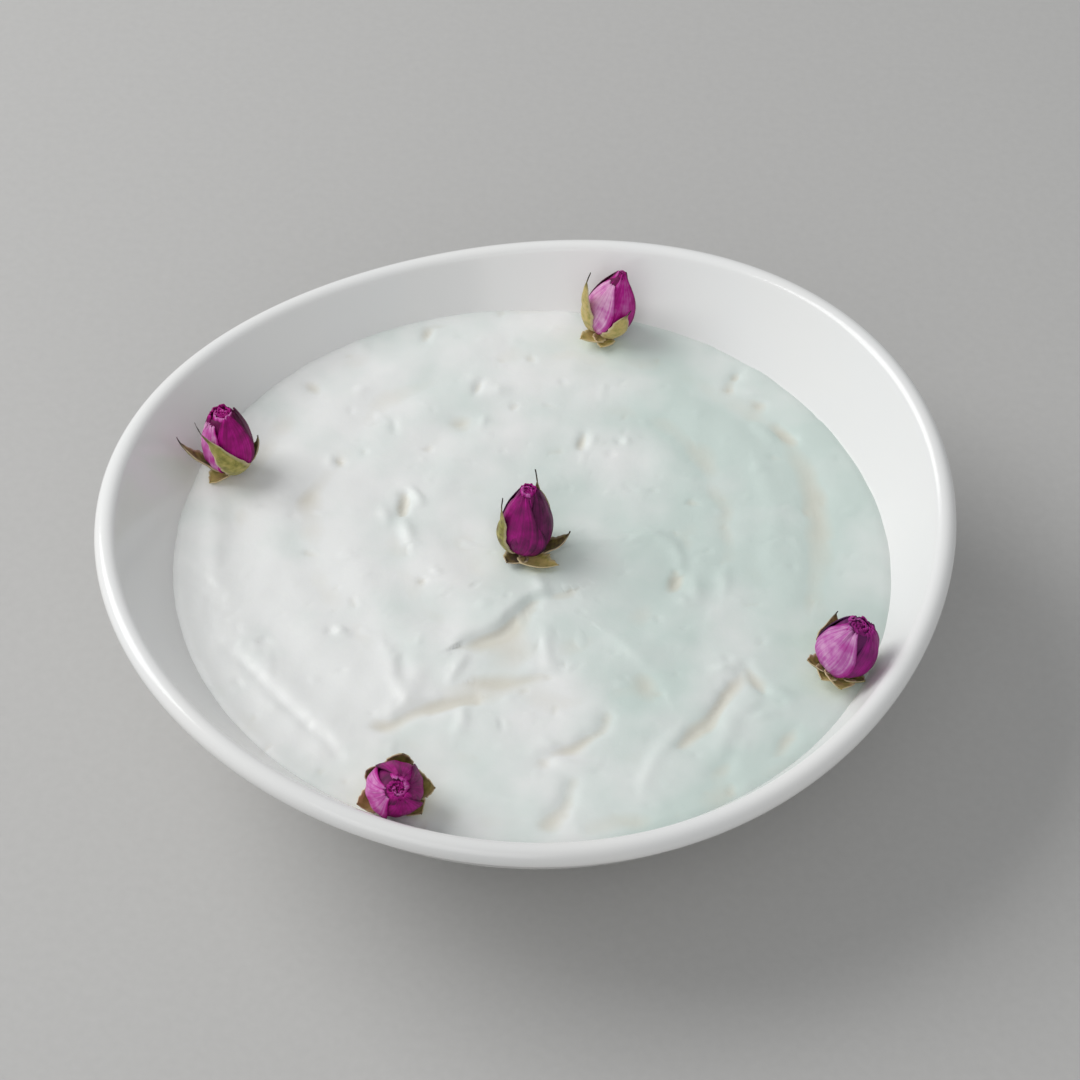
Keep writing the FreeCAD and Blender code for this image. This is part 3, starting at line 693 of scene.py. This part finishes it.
def petal_finish():
    """Dried rose petal: thin, velvety and matt. Its pink runs from maroon to lilac with each petal's value,
    which is partly its own colour and partly painted light, lighter where a petal faces the light, and
    painted shade darkens it towards its side edges. Fine veins run from foot to tip, and the foot is papery
    and pale."""
    material, tree = new_material("Dried rose petal")
    along, across, tone_and_shading = (carried(tree, name) for name in ("along", "across", "tone_and_shading"))
    place = add(tree, "ShaderNodeTexCoord")["Object"]
    blot = add(tree, "ShaderNodeTexNoise", {"Vector": place, "Scale": 1 / (2.2 * MM), "Detail": 3.0})["Fac"]
    lines = add(tree, "ShaderNodeCombineXYZ", {
        "X": add(tree, "ShaderNodeMath", {0: across, 1: 15.0}, operation="MULTIPLY")[0],
        "Y": add(tree, "ShaderNodeMath", {0: along, 1: 1.6}, operation="MULTIPLY")[0]})[0]
    vein = add(tree, "ShaderNodeTexNoise", {"Vector": lines, "Scale": 1.0, "Detail": 2.0})["Fac"]
    shift = add(tree, "ShaderNodeMapRange", {"Value": blot, "From Min": 0.3, "From Max": 0.7,
                                             "To Min": -0.12, "To Max": 0.12})[0]
    streak = add(tree, "ShaderNodeMapRange", {"Value": vein, "From Min": 0.3, "From Max": 0.7,
                                              "To Min": -0.10, "To Max": 0.10})[0]
    # The carried value holds painted light and shade: lighter for petals facing the light, darker at petal
    # edges.
    value = add(tree, "ShaderNodeMath", {0: tone_and_shading, 1: shift}, operation="ADD")[0]
    value = add(tree, "ShaderNodeMath", {0: value, 1: streak}, operation="ADD")[0]
    colour = ramp(tree, value, [(0.0, "#33061F"), (0.22, "#6C134E"), (0.42, "#940B6C"), (0.60, "#B8128C"),
                                (0.78, "#C868B0"), (1.0, "#E8B4D6")])
    colour = add(tree, "ShaderNodeMix", {"Factor": carried(tree, "violet"), 6: colour, 7: linear("#6A4590")},
                 data_type="RGBA")[2]
    foot = add(tree, "ShaderNodeMapRange", {"Value": along, "From Min": 0.16, "From Max": 0.0,
                                            "To Max": 0.7})[0]
    colour = add(tree, "ShaderNodeMix", {"Factor": foot, 6: colour, 7: linear("#B98A78")},
                 data_type="RGBA")[2]
    bump = add(tree, "ShaderNodeBump", {"Height": vein, "Strength": 0.5, "Distance": 0.25 * MM})[0]
    fine = add(tree, "ShaderNodeTexNoise", {"Vector": place, "Scale": 1 / (0.5 * MM), "Detail": 2.0})["Fac"]
    bump = add(tree, "ShaderNodeBump", {"Height": fine, "Normal": bump, "Strength": 0.3,
                                        "Distance": 0.1 * MM})[0]
    shader = add(tree, "ShaderNodeBsdfPrincipled", {
        "Base Color": colour, "Roughness": 0.55, "Normal": bump, "Specular IOR Level": 0.2})[0]
    add(tree, "ShaderNodeOutputMaterial", {"Surface": shader})
    return material


def sepal_finish():
    """Dried rose sepal: leathery, olive to khaki with brown mottling. Its felted edge is pale and its needle
    tip nearly black."""
    material, tree = new_material("Dried rose sepal")
    along, across, tone_and_shading = (carried(tree, name) for name in ("along", "across", "tone_and_shading"))
    place = add(tree, "ShaderNodeTexCoord")["Object"]
    blot = add(tree, "ShaderNodeTexNoise", {"Vector": place, "Scale": 1 / (1.3 * MM), "Detail": 4.0})["Fac"]
    shift = add(tree, "ShaderNodeMapRange", {"Value": blot, "From Min": 0.3, "From Max": 0.7,
                                             "To Min": -0.28, "To Max": 0.28})[0]
    value = add(tree, "ShaderNodeMath", {0: tone_and_shading, 1: shift}, operation="ADD")[0]
    colour = ramp(tree, value, [(0.0, "#4A3820"), (0.25, "#6F5B2A"), (0.48, "#868238"), (0.70, "#A79C50"),
                                (1.0, "#C8B26E")])
    edge = add(tree, "ShaderNodeMapRange", {"Value": across, "From Min": 0.74, "From Max": 0.98,
                                            "To Max": 0.7})[0]
    colour = add(tree, "ShaderNodeMix", {"Factor": edge, 6: colour, 7: linear("#D8C6A4")},
                 data_type="RGBA")[2]
    tip = add(tree, "ShaderNodeMapRange", {"Value": along, "From Min": 0.80, "From Max": 0.94})[0]
    colour = add(tree, "ShaderNodeMix", {"Factor": tip, 6: colour, 7: linear("#2B2119")},
                 data_type="RGBA")[2]
    bump = add(tree, "ShaderNodeBump", {"Height": blot, "Strength": 0.6, "Distance": 0.2 * MM})[0]
    shader = add(tree, "ShaderNodeBsdfPrincipled", {
        "Base Color": colour, "Roughness": 0.75, "Normal": bump, "Sheen Weight": 0.15})[0]
    add(tree, "ShaderNodeOutputMaterial", {"Surface": shader})
    return material


dried_petal = petal_finish()
dried_sepal = sepal_finish()
for bud_name, bud_form in bud_details.items():
    bud_piece = make_bud(bud_name, bud_form)
    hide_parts(bud_name)
    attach(bud_piece, "root")

# --- Floor, light and camera ---
# A plain pale table top, one broad soft light from the back left and a weaker one from the front.
sky = bpy.data.worlds.new("Soft studio")
bpy.context.scene.world = sky
sky.use_nodes = True
sky.node_tree.nodes.clear()
glow = add(sky.node_tree, "ShaderNodeBackground", {"Color": linear("#EEF0F2"), "Strength": 0.43})[0]
add(sky.node_tree, "ShaderNodeOutputWorld", {"Surface": glow})

floor_reach = 4.0
floor = mesh_piece("floor", [(x * floor_reach, y * floor_reach, 0.0)
                             for x, y in ((-1, -1), (1, -1), (1, 1), (-1, 1))], [(0, 1, 2, 3)])
paper, paper_tree = new_material("Pale matt board")
paper_place = add(paper_tree, "ShaderNodeTexCoord")["Object"]
paper_fibre = add(paper_tree, "ShaderNodeTexNoise", {"Vector": paper_place, "Scale": 1 / (2 * MM)})["Fac"]
paper_colour = add(paper_tree, "ShaderNodeMix", {
    "Factor": paper_fibre, 6: linear("#BBBAB8"), 7: linear("#C2C1BF")}, data_type="RGBA")[2]
add(paper_tree, "ShaderNodeOutputMaterial", {"Surface": add(paper_tree, "ShaderNodeBsdfPrincipled", {
    "Base Color": paper_colour, "Roughness": 0.8})[0]})
floor.data.materials.append(paper)


def soft_light(name, side, height, distance, size, watts):
    """A square light that faces the bowl from this side and height, both in degrees."""
    lamp = bpy.data.lights.new(name, "AREA")
    lamp.size = size
    lamp.energy = watts
    holder = bpy.data.objects.new(name, lamp)
    bpy.context.scene.collection.objects.link(holder)
    away = Vector((math.cos(math.radians(side)) * math.cos(math.radians(height)),
                   math.sin(math.radians(side)) * math.cos(math.radians(height)),
                   math.sin(math.radians(height))))
    holder.location = away * distance
    holder.rotation_euler = away.to_track_quat("Z", "Y").to_euler()


soft_light("Window light", side=160, height=42, distance=1.2, size=0.8, watts=9.2)
soft_light("Reflector", side=265, height=40, distance=1.4, size=1.0, watts=3.6)

camera_height = math.radians(47.58)
camera_distance = 623.5 * MM
camera_roll = math.radians(1.64)
field_of_view = math.radians(20)
aim = Vector((1.41 * MM, 3.89 * MM, level))
lens = bpy.data.cameras.new("Camera")
lens.sensor_width = 36
lens.lens = lens.sensor_width / 2 / math.tan(field_of_view / 2)
camera = bpy.data.objects.new("Camera", lens)
bpy.context.scene.collection.objects.link(camera)
forward = Vector((0.0, math.cos(camera_height), -math.sin(camera_height)))
camera.matrix_world = (Matrix.Translation(aim - forward * camera_distance)
                       @ Matrix.Rotation(math.pi / 2 - camera_height, 4, "X")
                       @ Matrix.Rotation(camera_roll, 4, "Z"))
bpy.context.scene.camera = camera
bpy.context.scene.view_settings.view_transform = "Standard"
